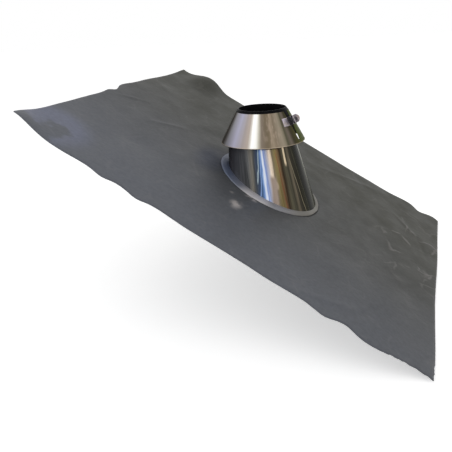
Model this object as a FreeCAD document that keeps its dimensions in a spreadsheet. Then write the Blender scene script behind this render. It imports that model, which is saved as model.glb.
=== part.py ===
import FreeCAD, Part
import math
import os
import Sketcher
from FreeCAD import Placement, Rotation, Vector

# Pipe flashing boot for a flue that comes through a pitched roof.
# A malleable lead apron lies on the roof, a polished steel cone stands on it, a soldered bead
# seals its foot, and a split storm collar with a rubber seal clamps on the flue above the cone.
# Frame: the flue's axis is +Z, down the roof is +X, and the origin is the lower edge of the seal's bore.
# Roof frame of the apron, cone and bead: X down the slope, Y across it, Z out of the roof,
# with its origin where the flue's axis meets the roof.

os.makedirs("parts", exist_ok=True)
doc = FreeCAD.newDocument("PipeFlashingBoot")

SIZES = {
    # roof and flue
    "roof_pitch": 30.0,
    "flue_diameter": 120.0,
    # lead apron, measured from the flue's axis along and across the roof
    "apron_up": 500.0,
    "apron_down": 520.0,
    "apron_near": 440.0,
    "apron_far": 490.0,
    "far_skew": 20.0,
    "up_skew": 10.0,
    "lead_thickness": 2.2,
    "lead_lift": 1.0,
    "lead_wave": 3.5,
    "lead_flat_reach": 40.0,
    "near_curl": 13.0,
    "far_curl": 4.0,
    "curl_reach": 130.0,
    "far_hump": 22.0,
    "far_hump_place": 385.0,
    "far_hump_length": 90.0,
    "far_hump_depth": 150.0,
    # hand-cut edges
    "cut_wander": 2.5,
    "corner_trim": 16.0,
    "corner_trim_reach": 110.0,
    "snip_depth": 6.0,
    "snip_length": 34.0,
    # steel cone
    "foot_width": 249.0,
    "foot_oval": 12.0,
    "foot_shift": 21.5,
    "cone_rim_diameter": 164.0,
    "cone_rim_shift": -8.0,
    "cone_wall": 0.8,
    "flange_reach": 32.0,
    # soldered bead round the foot
    "bead_width": 18.0,
    "bead_shift": -4.0,
    "bead_height": 6.0,
    # storm collar
    "collar_rim_height": 190.0,
    "collar_height": 78.0,
    "collar_foot_diameter": 218.0,
    "collar_sheet": 0.8,
    "split_angle": -13.0,
    "split_top_gap": 20.0,
    "split_foot_gap": 2.0,
    # clamp ears and screw
    "ear_drop": 25.0,
    "ear_length": 21.0,
    "ear_reach": 18.0,
    "ear_sheet": 2.0,
    "ear_corner": 3.0,
    "strap_span": 44.0,
    "strap_sheet": 1.2,
    "screw_reach": 11.0,
    "screw_diameter": 8.0,
    "screw_clearance": 0.4,
    "screw_end": 4.0,
    "head_diameter": 20.0,
    "head_height": 6.0,
    "nut_width": 13.0,
    "nut_height": 6.5,
    # rubber seal
    "seal_thickness": 6.5,
    "seal_grip": 14.0,
    "seal_stand": 6.5,
    "seal_lip": 1.8,
    # clearances between pieces that touch
    "sheet_gap": 0.15,
    "seat_gap": 0.3,
}

sheet = doc.addObject("Spreadsheet::Sheet", "Sizes")
for row, (alias, value) in enumerate(SIZES.items(), start=1):
    sheet.set(f"A{row}", alias.replace("_", " "))
    sheet.set(f"B{row}", str(value))
    sheet.setAlias(f"B{row}", alias)
doc.recompute()

# Heights and slopes that several pieces share, as spreadsheet expressions in the part's frame.
ROOF_Z = "(Sizes.seal_grip - Sizes.collar_rim_height)"
RIM_Z = "Sizes.seal_grip"
COLLAR_FOOT_Z = "(Sizes.seal_grip - Sizes.collar_height)"
FLUE_R = "(Sizes.flue_diameter / 2)"
RIM_IN_R = f"({FLUE_R} + Sizes.seal_thickness)"
RIM_OUT_R = f"({RIM_IN_R} + Sizes.collar_sheet)"
COLLAR_FOOT_R = "(Sizes.collar_foot_diameter / 2)"
COLLAR_TAPER = f"(({COLLAR_FOOT_R} - {RIM_OUT_R}) / Sizes.collar_height)"
COLLAR_SLOPE = f"atan({COLLAR_TAPER})"


def value(expression):
    """Number that a spreadsheet expression gives now."""
    result = sheet.evalExpression(expression)
    return float(getattr(result, "Value", result))


def origin_plane(body, role):
    return next(f for f in body.Origin.OriginFeatures if f.Role == role)


def new_body(name):
    body = doc.addObject("PartDesign::Body", name)
    body.Label = name
    return body


def new_sketch(body, name, role):
    sketch = body.newObject("Sketcher::SketchObject", name)
    sketch.AttachmentSupport = [(origin_plane(body, role), "")]
    sketch.MapMode = "FlatFace"
    return sketch


def bind(sketch, constraint, expression):
    index = sketch.addConstraint(constraint)
    sketch.setExpression(f"Constraints[{index}]", expression)


def draw_outline(sketch, corners):
    """Closed straight-sided outline whose corners are pairs of expressions."""
    points = [Vector(value(x), value(y), 0) for x, y in corners]
    lines = [
        sketch.addGeometry(Part.LineSegment(start, end), False)
        for start, end in zip(points, points[1:] + points[:1])
    ]
    for line, following in zip(lines, lines[1:] + lines[:1]):
        sketch.addConstraint(Sketcher.Constraint("Coincident", line, 2, following, 1))
    for line, point, (x, y) in zip(lines, points, corners):
        bind(sketch, Sketcher.Constraint("DistanceX", -1, 1, line, 1, point.x), x)
        bind(sketch, Sketcher.Constraint("DistanceY", -1, 1, line, 1, point.y), y)


def draw_circle(sketch, x, y, radius):
    centre = Vector(value(x), value(y), 0)
    circle = sketch.addGeometry(Part.Circle(centre, Vector(0, 0, 1), value(radius)), False)
    bind(sketch, Sketcher.Constraint("DistanceX", -1, 1, circle, 3, centre.x), x)
    bind(sketch, Sketcher.Constraint("DistanceY", -1, 1, circle, 3, centre.y), y)
    bind(sketch, Sketcher.Constraint("Radius", circle, value(radius)), radius)


def add_feature(body, kind, name, profile, **settings):
    feature = body.newObject(f"PartDesign::{kind}", name)
    feature.Profile = profile
    for key, setting in settings.items():
        setattr(feature, key, setting)
    return feature


def revolve(body, name, profile):
    """Turn a profile in the body's XZ plane once round its Z axis."""
    axis = origin_plane(body, "Z_Axis")
    return add_feature(body, "Revolution", name, profile, ReferenceAxis=(axis, [""]), Angle=360.0)


# ---------------------------------------------------------------- storm collar

def ear_point(along, out):
    """Point near the clamp: along the collar's slope from the screw's level, and out from its face."""
    x = f"{RIM_OUT_R} + Sizes.ear_drop * {COLLAR_TAPER}"
    z = f"{RIM_Z} - Sizes.ear_drop"
    return (
        f"{x} + ({along}) * sin({COLLAR_SLOPE}) + ({out}) * cos({COLLAR_SLOPE})",
        f"{z} - ({along}) * cos({COLLAR_SLOPE}) + ({out}) * sin({COLLAR_SLOPE})",
    )


def round_ear_corners(body, base):
    """Round the two free corners of each ear."""
    reach = value("Sizes.ear_reach")
    corners = [
        Vector(value(x), 0, value(z))
        for x, z in (ear_point("Sizes.ear_length / 2", str(reach)), ear_point("-Sizes.ear_length / 2", str(reach)))
    ]
    edges = []
    for index, edge in enumerate(base.Shape.Edges, start=1):
        middle = edge.CenterOfMass
        upright = abs(edge.BoundBox.YLength - value("Sizes.ear_sheet")) < 0.01
        if upright and any(math.hypot(middle.x - c.x, middle.z - c.z) < 0.05 for c in corners):
            edges.append(f"Edge{index}")
    fillet = body.newObject("PartDesign::Fillet", "EarCorners")
    fillet.Base = (base, edges)
    fillet.setExpression("Radius", "Sizes.ear_corner")
    return fillet


def build_storm_collar():
    """Cone of sheet steel, split down one side, with a strap whose two ears take the clamp screw."""
    body = new_body("storm_collar")
    section = new_sketch(body, "CollarSection", "XZ_Plane")
    draw_outline(section, [
        (COLLAR_FOOT_R, COLLAR_FOOT_Z),
        (RIM_OUT_R, RIM_Z),
        (RIM_IN_R, RIM_Z),
        (f"{COLLAR_FOOT_R} - Sizes.collar_sheet", COLLAR_FOOT_Z),
    ])
    revolve(body, "CollarSheet", section)

    strap = new_sketch(body, "StrapSection", "XZ_Plane")
    draw_outline(strap, [
        ear_point("Sizes.ear_length / 2", "-Sizes.collar_sheet / 2"),
        ear_point("Sizes.ear_length / 2", "Sizes.strap_sheet"),
        ear_point("-Sizes.ear_length / 2", "Sizes.strap_sheet"),
        ear_point("-Sizes.ear_length / 2", "-Sizes.collar_sheet / 2"),
    ])
    band = revolve(body, "Strap", strap)
    band.Midplane = True
    band.setExpression("Angle", "Sizes.strap_span")

    split = new_sketch(body, "SplitOutline", "YZ_Plane")
    draw_outline(split, [
        ("-Sizes.split_foot_gap / 2", f"{COLLAR_FOOT_Z} - 1"),
        ("Sizes.split_foot_gap / 2", f"{COLLAR_FOOT_Z} - 1"),
        ("Sizes.split_top_gap / 2", f"{RIM_Z} + 1"),
        ("-Sizes.split_top_gap / 2", f"{RIM_Z} + 1"),
    ])
    cut = add_feature(body, "Pocket", "Split", split, Type="Length", Reversed=True)
    cut.setExpression("Length", "Sizes.collar_foot_diameter")

    outline = new_sketch(body, "EarOutline", "XZ_Plane")
    root = "-Sizes.collar_sheet / 2"
    draw_outline(outline, [
        ear_point("Sizes.ear_length / 2", root),
        ear_point("Sizes.ear_length / 2", "Sizes.ear_reach"),
        ear_point("-Sizes.ear_length / 2", "Sizes.ear_reach"),
        ear_point("-Sizes.ear_length / 2", root),
    ])
    outline.setExpression("AttachmentOffset.Base.z", "Sizes.split_top_gap / 2")
    ear = add_feature(body, "Pad", "Ear", outline)
    ear.setExpression("Length", "Sizes.ear_sheet")
    mirror = body.newObject("PartDesign::Mirrored", "OtherEar")
    mirror.Originals = [ear]
    mirror.MirrorPlane = (origin_plane(body, "XZ_Plane"), [""])
    body.Tip = mirror

    hole = new_sketch(body, "ScrewHoleOutline", "XZ_Plane")
    draw_circle(hole, *ear_point("0", "Sizes.screw_reach"), "Sizes.screw_diameter / 2 + Sizes.screw_clearance")
    holes = add_feature(body, "Pocket", "ScrewHoles", hole, Type="Length", Midplane=True)
    holes.setExpression("Length", "Sizes.split_top_gap + 4 * Sizes.ear_sheet")
    doc.recompute()
    round_ear_corners(body, holes)
    body.setExpression("Placement", "placement(vector(0; 0; 0); rotation(vector(0; 0; 1); Sizes.split_angle))")
    return body


# ---------------------------------------------------------------- clamp screw

def place_on_screw_axis(body, offset):
    """Put the body's Z axis on the screw's axis, with its origin `offset` from the split's middle."""
    x, z = ear_point("0", "Sizes.screw_reach")
    turn = "rotation(vector(0; 0; 1); Sizes.split_angle)"
    across = "rotation(vector(1; 0; 0); -90)"
    base = (
        f"vector(({x}) * cos(Sizes.split_angle) - ({offset}) * sin(Sizes.split_angle); "
        f"({x}) * sin(Sizes.split_angle) + ({offset}) * cos(Sizes.split_angle); {z})"
    )
    body.setExpression("Placement", f"placement({base}; {turn} * {across})")


EAR_FACE = "(Sizes.split_top_gap / 2 + Sizes.ear_sheet)"


def build_clamp_screw():
    """Cup-headed screw, its head on the far ear and its end past the nut."""
    body = new_body("clamp_screw")
    stem = new_sketch(body, "StemSection", "XZ_Plane")
    stem_end = (
        f"-2 * {EAR_FACE} - 2 * Sizes.sheet_gap - Sizes.nut_height - Sizes.screw_end"
    )
    draw_outline(stem, [
        ("0", stem_end),
        ("Sizes.screw_diameter / 2", stem_end),
        ("Sizes.screw_diameter / 2", "0"),
        ("Sizes.head_diameter / 2", "0"),
        ("Sizes.head_diameter / 2", "Sizes.head_height * 0.3"),
        ("Sizes.head_diameter * 0.32", "Sizes.head_height"),
        ("0", "Sizes.head_height"),
    ])
    revolve(body, "Stem", stem)
    place_on_screw_axis(body, f"{EAR_FACE} + Sizes.sheet_gap")
    return body


def build_clamp_nut():
    """Hexagon nut on the near end of the screw."""
    body = new_body("clamp_nut")
    outline = new_sketch(body, "NutOutline", "XY_Plane")
    draw_outline(outline, [
        (f"Sizes.nut_width / sqrt(3) * cos({60 * k})", f"Sizes.nut_width / sqrt(3) * sin({60 * k})")
        for k in range(6)
    ])
    nut = add_feature(body, "Pad", "Nut", outline, Reversed=True)
    nut.setExpression("Length", "Sizes.nut_height")
    bore = new_sketch(body, "NutBoreOutline", "XY_Plane")
    draw_circle(bore, "0", "0", "Sizes.screw_diameter / 2 + Sizes.sheet_gap")
    cut = add_feature(body, "Pocket", "NutBore", bore, Type="Length")
    cut.setExpression("Length", "Sizes.nut_height")
    place_on_screw_axis(body, f"-{EAR_FACE} - Sizes.sheet_gap")
    return body


# ---------------------------------------------------------------- rubber seal

def build_collar_seal():
    """Rubber ring between the collar's rim and the flue, with a lip that stands above the rim."""
    body = new_body("collar_seal")
    section = new_sketch(body, "SealSection", "XZ_Plane")
    draw_outline(section, [
        (FLUE_R, "0"),
        (f"{RIM_IN_R} + Sizes.seal_grip * {COLLAR_TAPER} - Sizes.sheet_gap", "0"),
        (f"{RIM_IN_R} - Sizes.sheet_gap", RIM_Z),
        (f"{FLUE_R} + Sizes.seal_lip", f"{RIM_Z} + Sizes.seal_stand"),
        (FLUE_R, f"{RIM_Z} + Sizes.seal_stand"),
    ])
    revolve(body, "SealRing", section)
    return body


# ---------------------------------------------------------------- flashing cone

ON_ROOF = f"placement(vector(0; 0; {ROOF_Z}); rotation(vector(0; 1; 0); Sizes.roof_pitch))"

# The cone's rim comes up inside the collar until the collar rests on its up-slope side.
SEAT_R = "(Sizes.cone_rim_diameter / 2 - Sizes.cone_rim_shift + Sizes.seat_gap)"
CONE_RIM_Z = f"({RIM_Z} - ({SEAT_R} - {RIM_IN_R}) / {COLLAR_TAPER})"
PATCHES = 48  # strips that a ruled face is made in, each one nearly flat


def foot_ring(size, outward, height, shift=0.0):
    """Ellipse round the cone's foot and its placement: `outward` past the foot, `height` off the roof."""
    half_width = size["foot_width"] / 2 + outward
    half_length = half_width + size["foot_oval"] / 2
    ellipse = Part.Ellipse(Vector(0, 0, 0), half_length, half_width)
    return ellipse, Placement(Vector(size["foot_shift"] + shift, 0, height), Rotation())


def rim_ring(size, inward):
    """Circle of the cone's level rim and its placement in the roof frame."""
    circle = Part.Circle(Vector(0, 0, 0), Vector(0, 0, 1), size["cone_rim_diameter"] / 2 - inward)
    level = Placement(Vector(size["cone_rim_shift"], 0, value(CONE_RIM_Z)), Rotation())
    on_roof = Placement(Vector(0, 0, value(ROOF_Z)), Rotation(Vector(0, 1, 0), size["roof_pitch"]))
    return circle, on_roof.inverse().multiply(level)


def ring_arc(ring, turn, following):
    curve, placement = ring
    arc = curve.toShape(turn, following)
    arc.Placement = placement
    return arc


def ruled_solid(rings):
    """Solid through closed rings, from its flat bottom to its flat top."""
    turns = [2 * math.pi * k / PATCHES for k in range(PATCHES + 1)]
    faces = []
    for low, high in zip(rings, rings[1:]):
        for turn, following in zip(turns, turns[1:]):
            strip = Part.makeRuledSurface(ring_arc(low, turn, following), ring_arc(high, turn, following))
            faces += strip.Faces
    for ring in (rings[0], rings[-1]):
        outline = Part.Wire([ring_arc(ring, *pair) for pair in zip(turns, turns[1:])])
        faces.append(Part.Face(outline))
    shell = Part.makeShell(faces)
    shell.sewShape()
    return Part.Solid(shell if shell.ShapeType == "Shell" else shell.Shells[0])


def foot_block(size, outward, low, high):
    """Upright elliptical block round the cone's foot."""
    ellipse, placement = foot_ring(size, outward, low)
    block = Part.Face(Part.Wire(ellipse.toShape())).extrude(Vector(0, 0, high - low))
    block.Placement = placement
    return block


def new_shape(name, shape):
    feature = doc.addObject("Part::Feature", name)
    feature.Label = name
    feature.Shape = shape
    feature.setExpression("Placement", ON_ROOF)
    return feature


def cone_envelope(size, inward):
    """Oblique cone from the oval foot in the roof to the level rim, `inward` inside the sheet's face."""
    return ruled_solid([foot_ring(size, -inward, 0), rim_ring(size, inward)])


def build_flashing_cone(size):
    """Polished oblique cone with a flange that lies on the roof under the lead."""
    flange = foot_block(size, size["flange_reach"], 0, size["cone_wall"])
    sheet_metal = cone_envelope(size, 0).fuse(flange).cut(cone_envelope(size, size["cone_wall"]))
    return new_shape("flashing_cone", sheet_metal.Solids[0])


# ---------------------------------------------------------------- lead apron

def smooth_step(ratio):
    ratio = min(max(ratio, 0.0), 1.0)
    return ratio ** 3 * (ratio * (6 * ratio - 15) + 10)


def lead_surface_height(size, s, t):
    """Height of the lead's underside: flat at the boot, gently waved beyond, curled at the upper corners."""
    flat_length = (size["foot_width"] + size["foot_oval"]) / 2 + size["flange_reach"] + size["lead_flat_reach"]
    away = math.hypot(s - size["foot_shift"], t) - flat_length
    waves = math.sin(s / 95.0 + 0.8) * math.cos(t / 130.0 - 0.4) + 0.6 * math.sin((s + t) / 70.0)
    height = size["lead_lift"] + size["lead_wave"] * waves / 2 * smooth_step(away / 220.0)
    for corner_t, curl in ((-size["apron_near"], size["near_curl"]), (size["apron_far"], size["far_curl"])):
        reach = math.hypot(s + size["apron_up"], t - corner_t) / size["curl_reach"]
        height += curl * smooth_step(1 - reach)
    along = abs(s + size["far_hump_place"]) / size["far_hump_length"]
    inward = (size["apron_far"] - t) / size["far_hump_depth"]
    height += size["far_hump"] * smooth_step(1 - along) * smooth_step(1 - inward)
    return height


def lead_sheet(size):
    """Waved sheet, larger than the apron, from a net of points on its underside."""
    margin = 30.0
    steps = 26
    s_low, s_high = -size["apron_up"] - margin, size["apron_down"] + margin
    t_low, t_high = -size["apron_near"] - margin, size["apron_far"] + margin
    net = []
    for i in range(steps + 1):
        s = s_low + (s_high - s_low) * i / steps
        row = [t_low + (t_high - t_low) * j / steps for j in range(steps + 1)]
        net.append([Vector(s, t, lead_surface_height(size, s, t)) for t in row])
    surface = Part.BSplineSurface()
    surface.interpolate(net)
    return surface.toShape().extrude(Vector(0, 0, size["lead_thickness"]))


def cut_side(size, start, end, phase, snips=(), trim=0.0):
    """One hand-cut side of the apron: it wanders a little from the straight line.

    A snip is where the shears strayed and came back: its distance from the start and how far out it went.
    The trim is how far the side's start is cut in, which dies out along the side.
    """
    length = (end - start).Length
    along = (end - start).normalize()
    outward = Vector(along.y, -along.x, 0)
    stations = [length * k / 12 for k in range(13)]
    strays = {place: size["snip_depth"] * share for place, share in snips}
    for place in strays:
        stations = [x for x in stations if abs(x - place) > size["snip_length"]]
        stations += [place - size["snip_length"], place, place + size["snip_length"] * 0.5]
    points = []
    for x in sorted(stations):
        run = x / length
        out = size["cut_wander"] * math.sin(math.pi * run) * math.sin(9 * run + phase) + strays.get(x, 0.0)
        out -= trim * smooth_step(1 - x / size["corner_trim_reach"])
        points.append(start + along * x + outward * out)
    curve = Part.BSplineCurve()
    curve.interpolate(points)
    return curve.toShape()


def apron_blank(size):
    """Block whose sides are the apron's four hand-cut edges."""
    trim = size["corner_trim"]
    near_up = Vector(-size["apron_up"], -size["apron_near"], 0)
    near_down = Vector(size["apron_down"], -size["apron_near"], 0)
    far_down = Vector(size["apron_down"], size["apron_far"] - size["far_skew"], 0)
    far_up = Vector(size["up_skew"] - size["apron_up"], size["apron_far"], 0)
    near_start = near_up + Vector(0, trim, 0)
    # Every snip is its distance from the side's start in mm, and its depth as a share of snip_depth.
    sides = [
        cut_side(size, near_up, near_down, 0.0, ((250, 1), (335, 1), (780, 1), (828, -1.3)), trim),
        cut_side(size, near_down, far_down, 1.3),
        cut_side(size, far_down, far_up, 2.6, ((75, -2.6),)),
        cut_side(size, far_up, near_start, 3.9, ((490, -1.2),)),
    ]
    depth = 2 * (size["far_hump"] + size["near_curl"] + size["far_curl"] + size["lead_wave"])
    block = Part.Face(Part.Wire(sides)).extrude(Vector(0, 0, 2 * depth))
    block.translate(Vector(0, 0, -depth))
    return block


def build_lead_apron(size):
    """Malleable lead sheet with a hole round the cone."""
    hole_room = size["lead_lift"] + size["lead_thickness"]
    hole = foot_block(size, hole_room, -size["lead_flat_reach"], size["lead_flat_reach"])
    shape = lead_sheet(size).common(apron_blank(size)).cut(hole)
    return new_shape("lead_apron", shape.Solids[0] if len(shape.Solids) == 1 else shape)


# ---------------------------------------------------------------- soldered bead

def build_foot_bead(size):
    """Soldered bead on the lead, domed outside and run up against the cone's face."""
    width, height = size["bead_width"], size["bead_height"]
    seat = size["lead_lift"] + size["lead_thickness"] + size["sheet_gap"]
    bead = ruled_solid([
        foot_ring(size, width * inset, seat + height * rise, size["bead_shift"] * inset)
        for inset, rise in ((1.0, 0.0), (0.92, 0.6), (0.6, 1.0))
    ])
    return new_shape("foot_bead", bead.cut(cone_envelope(size, 0)).Solids[0])


# ---------------------------------------------------------------- build and write

def main():
    size = {alias: float(sheet.get(alias)) for alias in SIZES}
    nodes = [
        build_storm_collar(),
        build_clamp_screw(),
        build_clamp_nut(),
        build_collar_seal(),
    ]
    doc.recompute()
    nodes += [build_flashing_cone(size), build_lead_apron(size), build_foot_bead(size)]
    doc.recompute()

    for thing in doc.Objects:
        if "Invalid" in thing.State or "Error" in thing.State:
            raise RuntimeError(f"{thing.Label} did not compute: {thing.State}")
    for node in nodes:
        if node.Shape.isNull() or not node.Shape.isValid():
            raise RuntimeError(f"{node.Label} has no valid shape")
    for node in nodes:
        node.Shape.exportStep(f"parts/{node.Label}.step")
        print(node.Label, len(node.Shape.Solids), round(node.Shape.Volume, 1), node.Shape.BoundBox)


main()
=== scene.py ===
import math

import bmesh
import bpy
from bpy.props import FloatProperty, FloatVectorProperty, PointerProperty
from mathutils import Matrix, Vector, noise
from mathutils.bvhtree import BVHTree


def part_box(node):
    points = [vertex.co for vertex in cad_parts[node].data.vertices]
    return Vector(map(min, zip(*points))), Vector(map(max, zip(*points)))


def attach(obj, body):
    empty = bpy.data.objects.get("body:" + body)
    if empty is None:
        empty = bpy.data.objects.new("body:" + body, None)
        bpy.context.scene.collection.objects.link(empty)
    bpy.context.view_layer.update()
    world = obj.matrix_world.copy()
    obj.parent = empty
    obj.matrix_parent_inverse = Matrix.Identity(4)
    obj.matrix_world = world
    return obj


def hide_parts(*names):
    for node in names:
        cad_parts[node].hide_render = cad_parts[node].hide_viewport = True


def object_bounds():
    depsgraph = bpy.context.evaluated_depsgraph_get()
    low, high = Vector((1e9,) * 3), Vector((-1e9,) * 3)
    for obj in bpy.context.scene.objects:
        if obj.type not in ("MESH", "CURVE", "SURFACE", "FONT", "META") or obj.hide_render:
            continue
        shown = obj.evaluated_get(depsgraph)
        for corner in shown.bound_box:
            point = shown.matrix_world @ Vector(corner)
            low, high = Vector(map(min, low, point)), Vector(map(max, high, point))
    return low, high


bl_info = {
    "name": "Pipe flashing boot",
    "version": (1, 0, 0),
    "blender": (4, 5, 0),
    "location": "View3D > Sidebar > Flashing",
    "description": "Dresses a roof flashing: lead apron, polished cone, storm collar, seal and clamp",
    "category": "Add Mesh",
}

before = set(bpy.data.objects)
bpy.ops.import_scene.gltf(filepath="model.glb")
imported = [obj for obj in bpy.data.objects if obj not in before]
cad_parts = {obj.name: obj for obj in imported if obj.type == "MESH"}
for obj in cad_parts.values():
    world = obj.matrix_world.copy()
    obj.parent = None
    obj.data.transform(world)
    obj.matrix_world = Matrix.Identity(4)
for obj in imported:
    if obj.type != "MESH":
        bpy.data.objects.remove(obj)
CAD_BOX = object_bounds()
RIM_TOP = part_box("flashing_cone")[1].z
SEAL_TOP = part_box("collar_seal")[1].z
# Points nearer than this are one point.
DOUBLES = 1e-6


def tone(red, green, blue):
    """Linear colour from the 0 to 255 values that a colour picker shows."""
    shares = (channel / 255 for channel in (red, green, blue))
    return tuple(c / 12.92 if c <= 0.04045 else ((c + 0.055) / 1.055) ** 2.4 for c in shares)


def length(name, description, default):
    return FloatProperty(
        name=name, description=description, default=default, unit="LENGTH", subtype="DISTANCE"
    )


def angle(name, description, degrees):
    return FloatProperty(name=name, description=description, default=math.radians(degrees), subtype="ANGLE")


def colour(name, description, default):
    return FloatVectorProperty(
        name=name, description=description, default=default, size=3, min=0.0, max=1.0, subtype="COLOR"
    )


class FLASHING_PG_sizes(bpy.types.PropertyGroup):
    """Real sizes that the pieces share, in metres."""

    roof_pitch: angle("Roof pitch", "Slope of the roof", 30)
    roof_drop: length("Roof drop", "From the seal's lower edge down the flue to the roof", 0.176)
    lead_thickness: length("Lead thickness", "Gauge of the lead sheet", 0.0022)
    lead_lift: length("Lead lift", "Height of the lead's underside over the roof", 0.001)
    lead_gap: length("Lead gap", "Gap between the lead's hole and the cone's foot", 0.0005)
    cut_inset: length("Cut inset", "How far the hand-cut edge lies in from its line", 0.0002)
    cut_raggedness: length("Cut raggedness", "How far the hand-cut edge strays", 0.0008)
    foot_width: length("Foot width", "Width of the cone's foot across the roof", 0.2525)
    foot_oval: length("Foot oval", "How much longer than wide the foot is", 0.0125)
    foot_shift: length("Foot shift", "Foot's middle down the slope from the flue", 0.0275)
    rim_diameter: length("Rim diameter", "Diameter of the cone's rim", 0.164)
    rim_shift: length("Rim shift", "Rim's middle from the flue's axis", -0.008)
    cone_wall: length("Cone wall", "Gauge of the cone's sheet", 0.0008)
    flange_reach: length("Flange reach", "Width of the flange under the lead", 0.032)
    bead_radius: length("Bead radius", "Outer radius of the soldered bead", 0.1455)
    bead_middle: length("Bead middle", "Bead's middle down the slope from the flue", 0.016)
    bead_height: length("Bead height", "Height of the soldered bead", 0.006)
    collar_rim: length("Collar rim", "Height of the collar's rim over the seal's lower edge", 0.014)
    collar_height: length("Collar height", "Height of the collar", 0.078)
    collar_rim_radius: length("Collar rim radius", "Outside radius at the collar's rim", 0.0673)
    collar_foot_radius: length("Collar foot radius", "Outside radius at the collar's foot", 0.109)
    collar_sheet: length("Collar sheet", "Gauge of the collar's sheet", 0.0008)
    split_angle: angle("Split angle", "Bearing of the collar's split", -13)
    split_top: length("Split at the rim", "Width of the split at the rim", 0.020)
    split_foot: length("Split at the foot", "Width of the split at the foot", 0.002)
    bore_radius: length("Bore radius", "Radius of the seal's bore", 0.060)
    seal_bevel: length("Seal bevel", "How far the seal's lip slopes in over the rim", 0.001)
    lip_width: length("Lip width", "Width of the seal's lip at its top", 0.0022)
    seal_edge: length("Seal edge", "Rounding of the seal's edges", 0.0006)
    strap_sheet: length("Strap sheet", "Thickness of the strap that carries the ears", 0.0012)
    strap_gap: length("Strap gap", "Gap between the strap's two lengths", 0.0134)
    strap_span: angle("Strap span", "Turn that the strap covers", 44)
    ear_drop: length("Ear drop", "From the rim to the ear's middle", 0.025)
    ear_length: length("Ear length", "Length of an ear along the slope", 0.021)
    ear_reach: length("Ear reach", "How far an ear stands out", 0.018)
    ear_root: length("Ear root", "How deep an ear stands in the strap", 0.0005)
    ear_corner: length("Ear corner", "Radius of an ear's corners", 0.003)
    ear_sheet: length("Ear sheet", "Thickness of an ear", 0.002)
    ear_hole_gap: length("Ear hole gap", "Gap round the screw in the ears' holes", 0.0004)
    screw_reach: length("Screw reach", "Screw's axis out from the collar", 0.011)
    screw_radius: length("Screw radius", "Radius of the screw", 0.004)
    screw_end: length("Screw end", "How far the screw stands out of the nut", 0.0015)
    thread_pitch: length("Thread pitch", "From one ridge of the thread to the next", 0.0012)
    thread_length: length("Thread length", "Length of the screw's thread", 0.007)
    head_radius: length("Head radius", "Radius of the cup head", 0.010)
    head_height: length("Head height", "Height of the cup head", 0.006)
    head_brim: length("Head brim", "Height of the cup head's brim", 0.0012)
    head_edge: length("Head edge", "How far the brim's lower edge is eased", 0.0004)
    nut_radius: length("Nut radius", "From the nut's middle to its flats", 0.0065)
    nut_height: length("Nut height", "Height of the nut", 0.0065)
    sheet_edge: length("Sheet edge", "Rounding of the collar's and strap's edges", 0.0002)
    nut_edge: length("Nut edge", "Rounding of the nut's edges", 0.0004)
    clearance: length("Clearance", "Gap between pieces that touch", 0.00015)


class FLASHING_PG_finish(bpy.types.PropertyGroup):
    """Colours of the finishes, and of the painted reflections, highlights and shade."""

    lead_grey: colour("Lead grey", "Body colour of the lead", tone(71, 72, 73))
    # Painted blue reflection on the near side of the lead.
    lead_blue_reflection: colour("Lead blue", "Painted blue reflection on the near side of the lead", tone(90, 93, 100))
    lead_olive: colour("Lead olive", "Warmer lead at the far side", tone(54, 54, 46))
    # Painted pale reflection at the upper near corner of the lead.
    lead_corner_reflection: colour("Lead corner reflection", "Painted pale reflection at the upper near corner", tone(103, 107, 123))
    # Painted shadow and dark reflection of the boot on the lead beside it.
    lead_boot_shadow: colour("Lead boot shadow", "Painted shadow and dark reflection of the boot on the lead beside it", tone(42, 48, 64))
    # Painted highlight on the lead's dents and creases.
    lead_highlight: colour("Lead highlight", "Painted highlight on the lead's dents and creases", tone(168, 162, 160))
    bead_grey: colour("Bead grey", "Soldered bead", tone(124, 124, 130))
    bead_pale: colour("Bead pale", "Paler patches of the bead", tone(150, 149, 152))
    # Painted bluish shade on the bead up the slope.
    bead_painted_shade: colour("Bead blue", "Painted bluish shade on the bead up the slope", tone(74, 83, 104))
    # Painted highlight along the bead's front.
    bead_highlight: colour("Bead highlight", "Painted highlight along the bead's front", tone(172, 169, 172))
    bead_warm: colour("Bead warm", "Bead down the slope", tone(108, 105, 98))
    # Painted dull reflection among the cone's painted reflections.
    cone_dull_reflection: colour("Cone dull reflection", "Painted dull reflection among the cone's painted reflections", tone(156, 140, 124))
    # Painted warm reflection on the collar.
    collar_warm_reflection: colour("Collar warm reflection", "Painted warm reflection on the collar, mottled", tone(170, 152, 136))
    # Painted highlight along the collar's foot.
    collar_foot_highlight: colour("Collar foot highlight", "Painted highlight along the collar's foot", tone(196, 178, 156))
    zinc: colour("Zinc", "Zinc plating of the screw's head", tone(206, 190, 172))
    zinc_mottle: colour("Zinc mottle", "Cooler patches of the zinc", tone(190, 184, 194))
    # Painted shade on the near ear, the shank and the nut.
    clamp_shade: colour("Clamp shade", "Painted shade on the near ear, the shank and the nut", tone(26, 25, 28))
    # Paler patches in that painted shade.
    clamp_shade_mottle: colour("Shade mottle", "Paler patches in the painted shade", tone(60, 58, 64))
    strap_steel: colour("Strap steel", "Plated strap and far ear of the clamp", tone(196, 188, 204))
    strap_mottle: colour("Strap mottle", "Warmer patches of the strap", tone(206, 192, 184))
    rubber: colour("Rubber", "Rubber of the seal", tone(16, 16, 18))
    rubber_dust: colour("Rubber dust", "Trace of dust on the seal", tone(38, 36, 38))
    floor: colour("Floor", "Pale studio floor", tone(240, 240, 240))
    floor_patch: colour("Floor patch", "Paler patches of the floor", tone(244, 244, 244))


# ---- frames of the roof and the clamp

def roof_frame(sizes):
    """X down the slope, Y across, Z out of the roof, from the point where the flue meets it."""
    return Matrix.Translation((0, 0, -sizes.roof_drop)) @ Matrix.Rotation(sizes.roof_pitch, 4, "Y")


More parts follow.
